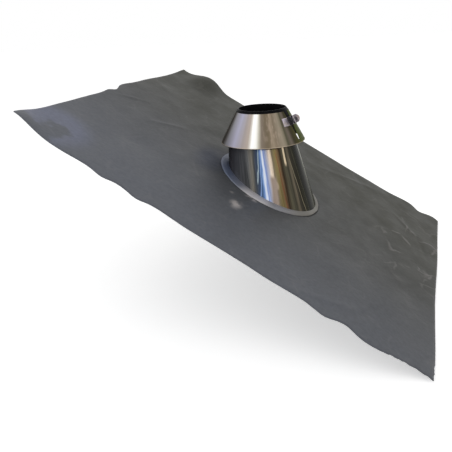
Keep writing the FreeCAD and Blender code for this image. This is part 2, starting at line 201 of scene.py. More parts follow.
def collar_slope(sizes):
    return math.atan2(sizes.collar_foot_radius - sizes.collar_rim_radius, sizes.collar_height)


def clamp_point(sizes, along, out):
    """Point on the collar's split line: down its slope from the ear's middle, and out from its face."""
    slope = collar_slope(sizes)
    x = sizes.collar_rim_radius + sizes.ear_drop * math.tan(slope)
    z = sizes.collar_rim - sizes.ear_drop
    return Vector((
        x + along * math.sin(slope) + out * math.cos(slope),
        0,
        z - along * math.cos(slope) + out * math.sin(slope),
    ))


def screw_frame(sizes, offset):
    """Frame whose Z runs along the screw, `offset` from the split's middle."""
    at = clamp_point(sizes, 0, sizes.screw_reach) + Vector((0, offset, 0))
    turn = Matrix.Rotation(sizes.split_angle, 4, "Z")
    return turn @ Matrix.Translation(at) @ Matrix.Rotation(math.radians(-90), 4, "X")


# ---- meshes

def smooth_step(ratio):
    ratio = min(max(ratio, 0.0), 1.0)
    return ratio * ratio * (3 - 2 * ratio)


def loft(bm, segments, rings):
    """Skin through rings, each a point for a turn in radians. Every vertex keeps its turn and rise."""
    turn = bm.verts.layers.float.get("turn") or bm.verts.layers.float.new("turn")
    rise = bm.verts.layers.float.get("rise") or bm.verts.layers.float.new("rise")
    made = bmesh.ops.create_circle(bm, segments=segments, radius=1.0)["verts"]
    for vert in made:
        vert[turn] = math.atan2(vert.co.y, vert.co.x)
        vert[rise] = 0.0
        vert.co = rings[0](vert[turn])
    edges = list({edge for vert in made for edge in vert.link_edges})
    loops = [edges]
    for index, ring in enumerate(rings[1:], start=1):
        grown = bmesh.ops.extrude_edge_only(bm, edges=edges)["geom"]
        edges = [item for item in grown if isinstance(item, bmesh.types.BMEdge)]
        for vert in (item for item in grown if isinstance(item, bmesh.types.BMVert)):
            vert[rise] = index / (len(rings) - 1)
            vert.co = ring(vert[turn])
        loops.append(edges)
    return loops


def wrap_uv(bm):
    """UV map from the turn and rise that the loft left on the vertices."""
    turn, rise = bm.verts.layers.float["turn"], bm.verts.layers.float["rise"]
    uv = bm.loops.layers.uv.new("Wrap")
    for face in bm.faces:
        turns = [loop.vert[turn] for loop in face.loops]
        crosses = max(turns) - min(turns) > math.pi
        for loop, value in zip(face.loops, turns):
            if crosses and value < 0:
                value += 2 * math.pi
            loop[uv].uv = (value / (2 * math.pi) + 0.5, loop.vert[rise])


def spin_once(bm, profile, steps):
    """Turn an outline once round Z and close it."""
    bmesh.ops.spin(
        bm, geom=profile, cent=(0, 0, 0), axis=(0, 0, 1), angle=2 * math.pi, steps=steps, use_merge=True
    )
    tidy_shell(bm)


def rounded_lathe(bm, outline, steps, rounding):
    """Closed outline of (radius, height) points, its corners rounded, turned once round Z."""
    verts = [bm.verts.new((radius, 0, height)) for radius, height in outline]
    bm.faces.new(verts)
    bmesh.ops.bevel(
        bm, geom=verts, offset=rounding, segments=3, profile=0.5, affect="VERTICES", material=-1
    )
    bmesh.ops.delete(bm, geom=bm.faces[:], context="FACES_ONLY")
    spin_once(bm, bm.edges[:], steps)


def tidy_shell(bm):
    bmesh.ops.remove_doubles(bm, verts=bm.verts, dist=DOUBLES)
    bmesh.ops.dissolve_degenerate(bm, dist=DOUBLES, edges=bm.edges)
    bmesh.ops.recalc_face_normals(bm, faces=bm.faces)


def away_from_flue(face):
    """Above zero for a face that looks away from the flue's axis."""
    return face.normal.xy.dot(face.calc_center_median().xy)


def face_outward(bm, outward):
    """Turn the faces so that they look outward, as a measure of one face tells."""
    bmesh.ops.recalc_face_normals(bm, faces=bm.faces)
    if sum(outward(face) for face in bm.faces) < 0:
        bmesh.ops.reverse_faces(bm, faces=bm.faces)


def holed_plate(bm, outline, hole, thickness, segments):
    """Plate from Z 0 to `thickness`, with a round hole; the outline gives a radius for a turn."""
    def ring(radius, height):
        return lambda turn: Vector((radius(turn) * math.cos(turn), radius(turn) * math.sin(turn), height))

    def bore(turn):
        return hole

    loops = loft(bm, segments, [
        ring(bore, 0), ring(outline, 0), ring(outline, thickness), ring(bore, thickness),
    ])
    bmesh.ops.bridge_loops(bm, edges=loops[0] + loops[-1])
    tidy_shell(bm)


def last_inside(inside, low, high, tries):
    """Furthest value from `low` towards `high` that still lies inside."""
    for _ in range(tries):
        middle = (low + high) / 2
        if inside(middle):
            low = middle
        else:
            high = middle
    return low


def polygon_outline(sides, flat):
    """Radius at a turn for a regular polygon whose flats are `flat` from its middle."""
    half = math.pi / sides
    return lambda turn: flat / math.cos((turn + half) % (2 * half) - half)


def rounded_box_outline(half_x, half_y, corner):
    """Radius at a turn for a rectangle with rounded corners."""
    def radius(turn):
        cos, sin = abs(math.cos(turn)), abs(math.sin(turn))
        reach = min(half_x / max(cos, 1e-9), half_y / max(sin, 1e-9))
        x, y = reach * cos, reach * sin
        inner_x, inner_y = half_x - corner, half_y - corner
        if x > inner_x and y > inner_y:
            along = cos * inner_x + sin * inner_y
            reach = along + math.sqrt(max(along ** 2 - inner_x ** 2 - inner_y ** 2 + corner ** 2, 0.0))
        return reach
    return radius


def add_object(bm, name, material):
    """Object at the origin with that mesh and material."""
    mesh = bpy.data.meshes.new(name)
    bm.to_mesh(mesh)
    bm.free()
    mesh.materials.append(material)
    made = bpy.data.objects.new(name, mesh)
    bpy.context.scene.collection.objects.link(made)
    return made


def finish_piece(bm, name, node, material, sharp=35):
    """Smooth piece, creased where it turns by `sharp` degrees, that rides on the object for its CAD node."""
    piece = add_object(bm, name, material)
    piece.data.polygons.foreach_set("use_smooth", [True] * len(piece.data.polygons))
    piece.data.set_sharp_from_angle(angle=math.radians(sharp))
    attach(piece, "root")
    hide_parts(node)
    return piece


def add_wall(piece, thickness):
    wall = piece.modifiers.new("Wall", "SOLIDIFY")
    wall.thickness = thickness
    wall.offset = -1.0
    wall.use_even_offset = True


def add_edge_round(piece, width):
    bevel = piece.modifiers.new("Edge round", "BEVEL")
    bevel.width = width
    bevel.segments = 2
    bevel.limit_method = "ANGLE"
    bevel.angle_limit = math.radians(40)


# ---- nodes

WHITE, BLACK = (1, 1, 1), (0, 0, 0)


# A node or socket's id_data is the node tree that it is in, so the helpers need no other word of it.

def feed(node, **inputs):
    """Set inputs by name, or by place as i0 and i1, from constants or from other nodes' outputs."""
    for key, given in inputs.items():
        socket = node.inputs[int(key[1:]) if key[1:].isdigit() else key.replace("_", " ")]
        if isinstance(given, bpy.types.NodeSocket):
            node.id_data.links.new(given, socket)
        else:
            socket.default_value = given


def add_node(tree, kind, settings=None, **inputs):
    """New node with its settings, and its inputs as they are fed."""
    node = tree.nodes.new(kind)
    for key, setting in (settings or {}).items():
        setattr(node, key, setting)
    feed(node, **inputs)
    return node


def maths(operation, first, second=0.0):
    node = add_node(first.id_data, "ShaderNodeMath", {"operation": operation}, i0=first, i1=second)
    return node.outputs[0]


def plus(first, second):
    return maths("ADD", first, second)


def times(first, second):
    return maths("MULTIPLY", first, second)


def sway(value, amount):
    """A value from 0 to 1 as a shift either way, `amount` from end to end."""
    return times(maths("SUBTRACT", value, 0.5), amount)


def vector_maths(operation, i0, **inputs):
    return add_node(i0.id_data, "ShaderNodeVectorMath", {"operation": operation}, i0=i0, **inputs).outputs


def separate(at):
    return add_node(at.id_data, "ShaderNodeSeparateXYZ", Vector=at).outputs


def stretch(at, first, second):
    """Coordinates scaled along their first and second axis."""
    node = add_node(at.id_data, "ShaderNodeMapping", Vector=at, Scale=(first, second, 1.0))
    return node.outputs["Vector"]


def noise_value(at, detail, scale=1.0):
    node = add_node(at.id_data, "ShaderNodeTexNoise", Vector=at, Scale=scale, Detail=detail)
    return node.outputs["Fac"]


def map_range(value, low, high, to_low=0.0, to_high=1.0):
    return add_node(
        value.id_data, "ShaderNodeMapRange", {"interpolation_type": "SMOOTHSTEP"},
        Value=value, From_Min=low, From_Max=high, To_Min=to_low, To_Max=to_high,
    ).outputs["Result"]


def as_colour(given):
    """Another node's output as it is, and a constant with its alpha."""
    return given if isinstance(given, bpy.types.NodeSocket) else (*given, 1.0)


def mix_colour(mask, first, second, share=1.0, blend="MIX"):
    """The second colour over the first where the mask says, and at most `share` of it."""
    factor = times(mask, share) if share < 1.0 else mask
    return add_node(
        mask.id_data, "ShaderNodeMix", {"data_type": "RGBA", "blend_type": blend},
        i0=factor, i6=as_colour(first), i7=as_colour(second),
    ).outputs[2]


def ramp(place, stops):
    """Colour ramp from stops of a position and a colour picker's red, green and blue."""
    node = add_node(place.id_data, "ShaderNodeValToRGB", Fac=place)
    elements = node.color_ramp.elements
    elements.remove(elements[1])
    for index, (position, *picked) in enumerate(stops):
        element = elements.new(position) if index else elements[0]
        element.position = position
        element.color = (*tone(*picked), 1.0)
    return node.outputs["Color"]


def new_group(name, **inputs):
    """Node group with those inputs and a mask as output: its tree, input sockets and mask socket."""
    tree = bpy.data.node_groups.new(name, "ShaderNodeTree")
    for label, default in inputs.items():
        kind = "NodeSocketFloat" if isinstance(default, float) else "NodeSocketVector"
        tree.interface.new_socket(label, in_out="INPUT", socket_type=kind).default_value = default
    tree.interface.new_socket("Mask", in_out="OUTPUT", socket_type="NodeSocketFloat")
    return tree, tree.nodes.new("NodeGroupInput").outputs, tree.nodes.new("NodeGroupOutput").inputs["Mask"]


def place_group(tree, name, make, **inputs):
    """Mask from the node group of that name, which is made the first time."""
    group = bpy.data.node_groups.get(name) or make(name)
    return add_node(tree, "ShaderNodeGroup", {"node_tree": group}, **inputs).outputs["Mask"]


def cloud_group(name):
    """Noise that fades in from its low value to its high one."""
    tree, given, mask = new_group(name, Vector=(0, 0, 0), Scale=5.0, Detail=4.0, Low=0.35, High=0.65)
    cloud = noise_value(given["Vector"], given["Detail"], given["Scale"])
    tree.links.new(map_range(cloud, given["Low"], given["High"]), mask)
    return tree


def clouds(at, scale, detail, low, high):
    return place_group(
        at.id_data, "Cloud Mask", cloud_group, Vector=at, Scale=scale, Detail=detail, Low=low, High=high
    )


def oval_group(name):
    """One in the core of an oval, and fading to nothing at its reach."""
    tree, given, mask = new_group(name, Vector=(0, 0, 0), Centre=(0, 0, 0), Reach=(1, 1, 1), Core=0.2)
    offset = vector_maths("SUBTRACT", i0=given["Vector"], i1=given["Centre"])[0]
    scaled = vector_maths("DIVIDE", i0=offset, i1=given["Reach"])[0]
    away = vector_maths("LENGTH", i0=scaled)["Value"]
    tree.links.new(map_range(away, given["Core"], 1.0, 1.0, 0.0), mask)
    return tree


def oval(at, centre, reach, core):
    return place_group(
        at.id_data, "Oval Region", oval_group, Vector=at, Centre=centre, Reach=reach, Core=core
    )


def streak_group(name):
    """One narrow streak that runs from a place at the foot to a place at the rim."""
    tree, given, mask = new_group(
        name, Turn=0.0, Rise=0.0, Foot=0.0, Rim=0.0, Width=0.003, Low=0.0, High=1.0
    )
    rise, low, high, width = given["Rise"], given["Low"], given["High"], given["Width"]
    lean = maths("SUBTRACT", given["Rim"], given["Foot"])
    middle = plus(given["Foot"], times(lean, rise))
    away = maths("ABSOLUTE", maths("SUBTRACT", given["Turn"], middle))
    line = map_range(away, times(width, 0.35), width, 1.0, 0.0)
    start = map_range(rise, low, plus(low, STREAK_FADE))
    end = map_range(rise, maths("SUBTRACT", high, STREAK_FADE), high, 1.0, 0.0)
    tree.links.new(times(line, times(start, end)), mask)
    return tree


def new_material(name):
    material = bpy.data.materials.new(name)
    material.use_nodes = True
    return material, material.node_tree.nodes["Principled BSDF"]


def object_place(shader):
    return add_node(shader.id_data, "ShaderNodeTexCoord").outputs["Object"]


def seen_directly(tree):
    """One for rays that see a surface straight, in a mirror or through glass, and zero for its light."""
    path = add_node(tree, "ShaderNodeLightPath").outputs
    seen = maths("MAXIMUM", path["Is Camera Ray"], path["Is Glossy Ray"])
    return maths("MAXIMUM", seen, path["Is Transmission Ray"])


def bump(shader, height, distance, strength):
    node = add_node(height.id_data, "ShaderNodeBump", Height=height, Distance=distance, Strength=strength)
    feed(shader, Normal=node.outputs["Normal"])


# ---- finishes

# Painted highlights that the lead's dents and creases catch, in the roof frame in metres: middle, reach and
# how bright.
LEAD_GLINTS = (
    ((0.008, -0.153), (0.022, 0.016), 1.0),
    ((-0.010, -0.224), (0.022, 0.034), 0.9),
    ((-0.040, -0.166), (0.012, 0.022), 0.6),
    ((0.485, 0.010), (0.020, 0.030), 0.15),
)
# Painted reflections on the polished cone: share of a full turn from the up-slope side, and colour.
CONE_REFLECTIONS = (
    (0.000, 96, 100, 110), (0.085, 54, 54, 58), (0.110, 78, 77, 82), (0.150, 88, 89, 94),
    (0.207, 86, 87, 88), (0.226, 112, 108, 100), (0.235, 66, 68, 69), (0.254, 58, 72, 96),
    (0.263, 80, 108, 150), (0.269, 104, 140, 204), (0.272, 226, 236, 252), (0.276, 232, 240, 252),
    (0.280, 116, 140, 202), (0.290, 152, 160, 186), (0.302, 192, 176, 160), (0.311, 188, 170, 150),
    (0.316, 92, 84, 70), (0.333, 108, 96, 62), (0.346, 104, 84, 62), (0.355, 46, 36, 28),
    (0.368, 82, 78, 64), (0.385, 56, 54, 46), (0.398, 98, 90, 76), (0.408, 48, 45, 39),
    (0.470, 40, 42, 36), (0.505, 58, 58, 34), (0.600, 60, 62, 58), (0.680, 150, 150, 148),
    (0.740, 84, 84, 82), (0.800, 120, 122, 128), (0.870, 60, 62, 66), (1.000, 96, 100, 110),
)
# Narrow painted reflections on the cone: place at the foot and at the rim, half width, lowest and highest
# rise, colour.
CONE_REFLECTION_STREAKS = (
    (0.235, 0.282, 0.0028, 0.30, 0.90, 168, 184, 190),
    (0.249, 0.289, 0.0018, 0.05, 0.85, 140, 168, 218),
    (0.304, 0.330, 0.0160, -0.10, 0.52, 136, 122, 112),
    (0.372, 0.394, 0.0065, 0.62, 0.95, 228, 207, 174),
    (0.436, 0.402, 0.0018, 0.02, 0.74, 136, 128, 106),
    (0.350, 0.348, 0.0022, 0.02, 0.80, 122, 78, 56),
    (0.455, 0.434, 0.0014, 0.05, 0.95, 84, 82, 70),
    (0.492, 0.545, 0.0090, 0.02, 1.00, 84, 82, 34),
    (0.655, 0.670, 0.0060, 0.05, 0.95, 226, 224, 220),
    (0.770, 0.780, 0.0040, 0.05, 0.95, 206, 208, 216),
    (0.900, 0.890, 0.0050, 0.05, 0.95, 190, 194, 206),
)
# Painted reflections and highlight on the brushed collar: share of a full turn from the up-slope side, and
# colour.
COLLAR_REFLECTIONS = (
    (0.000, 150, 146, 140), (0.040, 66, 62, 56), (0.085, 74, 70, 64), (0.106, 112, 108, 108),
    (0.122, 154, 153, 159), (0.150, 162, 160, 174), (0.174, 172, 170, 190), (0.190, 152, 149, 160),
    (0.212, 136, 128, 126), (0.234, 150, 139, 130), (0.243, 196, 190, 182), (0.251, 255, 255, 252),
    (0.267, 255, 253, 246), (0.276, 206, 200, 184), (0.287, 130, 118, 106), (0.303, 116, 104, 88),
    (0.318, 108, 96, 78), (0.334, 140, 126, 108), (0.346, 114, 102, 86), (0.374, 144, 133, 116),
    (0.386, 126, 118, 100), (0.393, 80, 78, 62), (0.411, 108, 98, 88), (0.428, 60, 56, 42),
    (0.452, 72, 68, 40), (0.472, 74, 82, 6), (0.520, 88, 98, 8), (0.600, 104, 102, 92),
    (0.720, 160, 156, 150), (0.800, 112, 108, 102), (0.900, 172, 170, 170), (1.000, 150, 146, 140),
)
# Share of the cone's rise over which a streak fades in and out.
STREAK_FADE = 0.06
# Painted tint of what the steel mirrors where it is seen nearly edge-on.
EDGE_TINT = (0.12, 0.13, 0.07, 1.0)


def lead_body(at, finish):
    """Lead, warm at the far side, with a painted blue reflection at the near side, a painted pale reflection
    at the upper near corner and a painted shadow of the boot beside it.
    """
    split = separate(at)
    wide = clouds(at, scale=3.2, detail=3.0, low=0.3, high=0.7)
    across = plus(split["Y"], times(split["X"], 0.25))
    warm = map_range(plus(across, times(wide, 0.12)), -0.12, 0.42)
    shade = mix_colour(warm, finish.lead_grey, finish.lead_olive)
    # Painted blue reflection at the near side.
    shade = mix_colour(map_range(across, 0.02, -0.5), shade, finish.lead_blue_reflection)
    # Painted pale reflection at the upper near corner.
    corner = oval(at, (-0.45, -0.37, 0), (0.13, 0.12, 1), core=0.5)
    patchy = clouds(at, scale=8.0, detail=5.0, low=0.42, high=0.48)
    shade = mix_colour(times(corner, patchy), shade, finish.lead_corner_reflection)
    # Painted shadow and dark reflection of the boot beside it.
    boot_shadow = oval(at, (-0.14, -0.06, 0), (0.07, 0.12, 1), core=0.2)
    return mix_colour(boot_shadow, shade, finish.lead_boot_shadow, 0.9)


def crinkle_lines(at):
    """Short fine creases that handling leaves in soft sheet."""
    tree = at.id_data
    bend = add_node(tree, "ShaderNodeTexNoise", Vector=at, Scale=7.0, Detail=3.0).outputs["Color"]
    bent = vector_maths("MULTIPLY_ADD", i0=bend, i1=(0.18, 0.18, 0.0), i2=at)[0]
    cells = add_node(
        tree, "ShaderNodeTexVoronoi", {"feature": "DISTANCE_TO_EDGE", "voronoi_dimensions": "2D"},
        Vector=bent, Scale=13.0,
    ).outputs["Distance"]
    broken = clouds(at, scale=17.0, detail=3.0, low=0.46, high=0.60)
    return times(map_range(cells, 0.0, 0.09, 1.0, 0.0), broken)


def lead_material(sizes, finish):
    """Malleable lead, cloudy and crinkled, with painted highlights along its creases and on its dents."""
    material, shader = new_material("Lead sheet")
    at = add_node(
        shader.id_data, "ShaderNodeMapping", {"vector_type": "TEXTURE"}, Vector=object_place(shader),
        Location=(0, 0, -sizes.roof_drop), Rotation=(0, sizes.roof_pitch, 0),
    ).outputs["Vector"]
    blotch = clouds(at, scale=14.0, detail=6.0, low=0.3, high=0.72)
    fine = clouds(at, scale=120.0, detail=8.0, low=0.2, high=0.8)
    shade = mix_colour(blotch, lead_body(at, finish), WHITE, 0.16, "SOFT_LIGHT")
    shade = mix_colour(fine, shade, BLACK, 0.2, "SOFT_LIGHT")

    crumpled = oval(at, (0.45, 0.13, 0), (0.15, 0.30, 1), core=0.3)
    handled = plus(times(crumpled, 0.20), 0.04)
    creased = times(crinkle_lines(at), handled)
    # Painted highlight along the creases, which also raise the bump.
    shade = mix_colour(creased, shade, finish.lead_highlight)
    # Painted highlights on the dents, broken up by noise.
    glint_noise = clouds(at, scale=46.0, detail=5.0, low=0.40, high=0.62)
    for centre, reach, strength in LEAD_GLINTS:
        spot = times(oval(at, (*centre, 0), (*reach, 1), core=0.1), glint_noise)
        shade = mix_colour(spot, shade, finish.lead_highlight, strength)

    relief = plus(plus(fine, times(blotch, 2.0)), times(creased, 6.0))
    bump(shader, relief, 0.0004, 0.5)
    feed(
        shader, Base_Color=shade, Metallic=0.25, Specular_IOR_Level=0.3,
        Roughness=plus(times(blotch, 0.12), 0.46),
    )
    return material


def polished_material(finish):
    """Mirror-polished steel whose reflections are painted: long streaks up the cone, a little warped."""
    material, shader = new_material("Polished steel")
    tree = shader.id_data
    wrap = add_node(tree, "ShaderNodeUVMap", {"uv_map": "Wrap"}).outputs["UV"]
    split = separate(wrap)
    drift = sway(noise_value(stretch(wrap, 70.0, 5.0), detail=2.0), 0.008)
    leaning = plus(plus(split["X"], drift), times(split["Y"], -0.016))
    # Painted reflections in bands round the turn.
    shade = ramp(leaning, CONE_REFLECTIONS)
    brushed = clouds(stretch(wrap, 320.0, 1.4), scale=1.0, detail=2.0, low=0.40, high=0.62)
    shade = mix_colour(brushed, shade, WHITE, 0.5, "SOFT_LIGHT")
    # Painted dull reflection among the bands.
    dull_patch = oval(wrap, (0.322, 0.40, 0), (0.014, 0.07, 1), core=0.5)
    shade = mix_colour(dull_patch, shade, finish.cone_dull_reflection, 0.7)
    wavy = plus(split["X"], times(drift, 0.8))
    # Each narrow streak is a painted reflection.
    for foot, rim, width, low, high, *picked in CONE_REFLECTION_STREAKS:
        streak = place_group(
            tree, "Narrow Streak", streak_group,
            Turn=wavy, Rise=split["Y"], Foot=foot, Rim=rim, Width=width, Low=low, High=high,
        )
        shade = mix_colour(streak, shade, tone(*picked))
    feed(
        shader, Base_Color=shade, Metallic=0.55, Specular_IOR_Level=0.2, Specular_Tint=EDGE_TINT,
        Roughness=map_range(brushed, 0.0, 1.0, 0.12, 0.2),
    )
    return material


def brushed_material(sizes, finish):
    """Brushed steel of the collar, with painted reflections and a painted highlight round the turn, and fine
    strokes.
    """
    material, shader = new_material("Brushed steel")
    split = separate(object_place(shader))
    turn = maths("ARCTAN2", split["Y"], split["X"])
    share = plus(maths("DIVIDE", turn, 2 * math.pi), 0.5)
    polar = add_node(shader.id_data, "ShaderNodeCombineXYZ", X=share, Y=split["Z"]).outputs[0]
    soft_at = stretch(polar, 60.0, 24.0)
    drift = sway(noise_value(soft_at, detail=4.0), 0.006)
    # Painted reflections and highlight round the turn.
    shade = ramp(plus(share, drift), COLLAR_REFLECTIONS)
    # Painted warm reflection, mottled.
    mottle = clouds(soft_at, scale=1.6, detail=4.0, low=0.46, high=0.66)
    warm_patch = oval(polar, (0.335, -0.02, 0), (0.055, 0.05, 1), core=0.5)
    shade = mix_colour(times(mottle, warm_patch), shade, finish.collar_warm_reflection, 0.45)
    strokes = noise_value(stretch(polar, 8.0, 1400.0), detail=6.0)
    shade = mix_colour(strokes, shade, WHITE, 0.25, "SOFT_LIGHT")
    # Painted highlight along the collar's foot.
    foot = sizes.collar_rim - sizes.collar_height
    foot_glint = map_range(split["Z"], foot + 0.0022, foot + 0.0006)
    shade = mix_colour(foot_glint, shade, finish.collar_foot_highlight, 0.5)
    bump(shader, strokes, 0.00004, 0.6)
    feed(
        shader, Base_Color=shade, Metallic=0.5, Specular_IOR_Level=0.2, Specular_Tint=EDGE_TINT,
        Roughness=map_range(strokes, 0.3, 0.7, 0.28, 0.42),
    )
    return material


def bead_material(finish):
    """Smooth hand-wiped solder, slightly uneven, with painted bluish shade up the slope and a painted
    highlight along its front.
    """
    material, shader = new_material("Soldered bead")
    at = object_place(shader)
    patch = clouds(at, scale=22.0, detail=4.0, low=0.3, high=0.7)
    fine = clouds(at, scale=160.0, detail=5.0, low=0.2, high=0.8)
    down = separate(at)["X"]
    shade = mix_colour(patch, finish.bead_grey, finish.bead_pale, 0.3)
    # Painted bluish shade up the slope.
    shade = mix_colour(map_range(down, 0.03, -0.08), shade, finish.bead_painted_shade)
    shade = mix_colour(map_range(down, 0.06, 0.13), shade, finish.bead_warm)
    # Painted highlight along the front.
    front = oval(at, (0.012, -0.145, -0.18), (0.055, 0.05, 0.06), core=0.3)
    shade = mix_colour(front, shade, finish.bead_highlight)
    shade = mix_colour(fine, shade, WHITE, 0.1, "SOFT_LIGHT")
    bump(shader, plus(patch, times(fine, 0.3)), 0.0004, 0.5)
    feed(
        shader, Base_Color=shade, Metallic=0.2,
        Roughness=map_range(patch, 0.0, 1.0, 0.42, 0.55),
    )
    return material


def plated_material(name, base, mottle):
    """Plated steel, or steel painted dark as shade, faintly mottled."""
    material, shader = new_material(name)
    patch = clouds(object_place(shader), scale=160.0, detail=4.0, low=0.3, high=0.7)
    bump(shader, patch, 0.00005, 0.4)
    feed(
        shader, Base_Color=mix_colour(patch, base, mottle), Metallic=0.35,
        Roughness=map_range(patch, 0.0, 1.0, 0.24, 0.38),
    )
    return material


def rubber_material(finish):
    """Deep black rubber with a trace of dust."""
    material, shader = new_material("Black rubber")
    dust = clouds(object_place(shader), scale=70.0, detail=6.0, low=0.4, high=0.8)
    bump(shader, dust, 0.0001, 0.4)
    feed(
        shader, Base_Color=mix_colour(dust, finish.rubber, finish.rubber_dust, 0.3),
        Roughness=map_range(dust, 0.0, 1.0, 0.3, 0.45), Specular_IOR_Level=0.1, IOR=1.2,
    )
    return material


# ---- lead apron

# How far from its place an edge is looked for.
EDGE_SEARCH = 0.03
# Steps of the sheet's mesh along and across the slope.
LEAD_STEPS = (204, 180)
# Marks on the lead in the roof frame, in metres: places down and across the slope, reach and height.
LEAD_DENTS = (
    ((0.010, -0.168), 0.018, 0.0026),
    ((-0.040, -0.176), 0.016, -0.0022),
    ((-0.010, -0.224), 0.026, 0.0028),
    ((0.012, -0.246), 0.018, -0.0020),
    ((-0.30, -0.20), 0.07, -0.0025),
    ((-0.22, 0.16), 0.08, 0.0022),
    ((0.30, 0.05), 0.09, -0.0022),
    ((0.24, -0.25), 0.10, 0.0024),
    ((0.43, -0.05), 0.08, 0.0022),
    ((-0.42, 0.22), 0.06, 0.0022),
)
# Creases as (start, end, half width, depth).
LEAD_CREASES = (
    ((0.335, -0.392), (0.386, -0.288), 0.006, -0.0016),
    ((-0.345, -0.065), (-0.252, 0.035), 0.007, 0.0014),
    ((0.37, 0.305), (0.44, 0.235), 0.006, 0.0016),
    ((0.455, 0.225), (0.50, 0.07), 0.006, -0.0015),
    ((-0.47, -0.02), (-0.40, 0.05), 0.006, 0.0014),
    ((0.10, 0.33), (0.30, 0.42), 0.012, 0.0012),
    ((0.18, -0.43), (0.34, -0.36), 0.010, 0.0012),
)
# No marks inside this radius round the foot, where the bead lies, and the breadth over which they fade in.
UNMARKED_RADIUS, UNMARKED_FADE = 0.135, 0.02
# Half length and half width of the marked field, and the breadth over which marks fade out at its edge.
MARKED_LENGTH, MARKED_WIDTH, MARKED_FADE = 0.52, 0.50, 0.06
# The corner that is torn: where it starts down and across the slope, and how much more ragged it is.
TORN_DOWN, TORN_ACROSS, TORN_MORE = 0.40, -0.38, 10


class LeadForm:
    """Outline and height of the lead, read from its solid in the roof frame."""

    def __init__(self, node, roof):
        bm = bmesh.new()
        bm.from_mesh(node.data)
        bmesh.ops.transform(bm, matrix=roof.inverted(), verts=bm.verts)
        self.corners = [
            min(bm.verts, key=lambda vert: along * vert.co.x + across * vert.co.y).co.copy()
            for along, across in ((1, 1), (-1, 1), (-1, -1), (1, -1))
        ]
        self.tree = BVHTree.FromBMesh(bm)
        bm.free()

    def height(self, at):
        """Top of the lead, or None off the sheet."""
        found = self.tree.ray_cast(Vector((at.x, at.y, 0.3)), Vector((0, 0, -1)))[0]
        return found.z if found else None

    def top(self, at, rest):
        """Top of the lead at a place or just inside it, or else its height at rest."""
        for place in (at, at * 0.996):
            height = self.height(place)
            if height is not None:
                return height
        return rest

    def edge(self, start, end, share):
        """Point of the cut edge beside the straight line from one corner to the next."""
        line = (end - start).normalized()
        outward = Vector((line.y, -line.x, 0))
        base = start.lerp(end, share)

        def on_sheet(out):
            return self.height(base + outward * out) is not None

        return base + outward * last_inside(on_sheet, -EDGE_SEARCH, EDGE_SEARCH, tries=14)


def ragged(sizes, at):
    """How far a hand-cut edge is nicked at a place."""
    coarse = abs(noise.noise(Vector((at.x, at.y, 0.3)) * 60))
    fine = abs(noise.noise(Vector((at.x, at.y, 1.7)) * 170))
    torn = smooth_step((at.x - TORN_DOWN) / 0.05) * smooth_step((TORN_ACROSS - at.y) / 0.03)
    return sizes.cut_raggedness * (coarse + 0.6 * fine) * (1 + TORN_MORE * torn)


def lead_side(form, sizes, start, end, steps):
    """Points of one cut edge from corner to corner."""
    points = []
    for step in range(steps + 1):
        at = form.edge(start, end, step / steps)
        at.z = 0
        points.append(at - at.normalized() * (ragged(sizes, at) + sizes.cut_inset))
    return points


def coons(sides, u, v):
    """Point inside four sides that run round the sheet, each from a corner to the next."""
    low, right, high, left = sides
    across = len(right) - 1
    along = len(low) - 1
    i, j = round(u * along), round(v * across)
    corners = low[0] * (1 - u) * (1 - v) + low[-1] * u * (1 - v) + high[0] * u * v + high[-1] * (1 - u) * v
    return (
        low[i] * (1 - v) + high[along - i] * v
        + left[across - j] * (1 - u) + right[j] * u - corners
    )


def crease_height(at, start, end, half_width, depth):
    start, end = Vector((*start, 0)), Vector((*end, 0))
    line = end - start
    share = min(max((at - start).dot(line) / line.length_squared, 0.0), 1.0)
    away = (at - start.lerp(end, share)).length
    wobble = 1 + 0.4 * noise.noise(at * 40)
    return depth * wobble * math.exp(-(away / half_width) ** 2) * math.sin(math.pi * (0.1 + 0.8 * share))


def marks_height(at):
    """Dents, creases and soft dressing marks that the sheet carries on top of its form."""
    relief = 0.0009 * noise.noise(at * 9 + Vector((3.1, 0, 0)))
    relief += 0.00035 * noise.noise(at * 26 + Vector((0, 5.3, 0)))
    for place, reach, height in LEAD_DENTS:
        away = (at - Vector((*place, 0))).length / reach
        relief += height * math.exp(-away * away * 2.2)
    for crease in LEAD_CREASES:
        relief += crease_height(at, *crease)
    return relief


def foot_halves(sizes, outward=0.0):
    """Half length and half width of the oval that lies `outward` from the cone's foot."""
    half_width = sizes.foot_width / 2 + outward
    return half_width + sizes.foot_oval / 2, half_width


def foot_point(sizes, turn, outward=0.0, height=0.0):
    half_length, half_width = foot_halves(sizes, outward)
    return Vector((sizes.foot_shift + half_length * math.cos(turn), half_width * math.sin(turn), height))


def rim_point(sizes, turn, roof_inverse):
    radius = sizes.rim_diameter / 2
    at = Vector((sizes.rim_shift + radius * math.cos(turn), radius * math.sin(turn), RIM_TOP))
    return roof_inverse @ at


def stretch_lead(bm, form, sizes):
    """Grid drawn out to the four cut edges of the sheet."""
    along, across = LEAD_STEPS
    corners = form.corners
    sides = [
        lead_side(form, sizes, start, end, steps)
        for start, end, steps in zip(corners, corners[1:] + corners[:1], (along, across, along, across))
    ]
    bmesh.ops.create_grid(bm, x_segments=along, y_segments=across, size=0.5)
    for vert in bm.verts:
        vert.co = coons(sides, vert.co.x + 0.5, vert.co.y + 0.5)


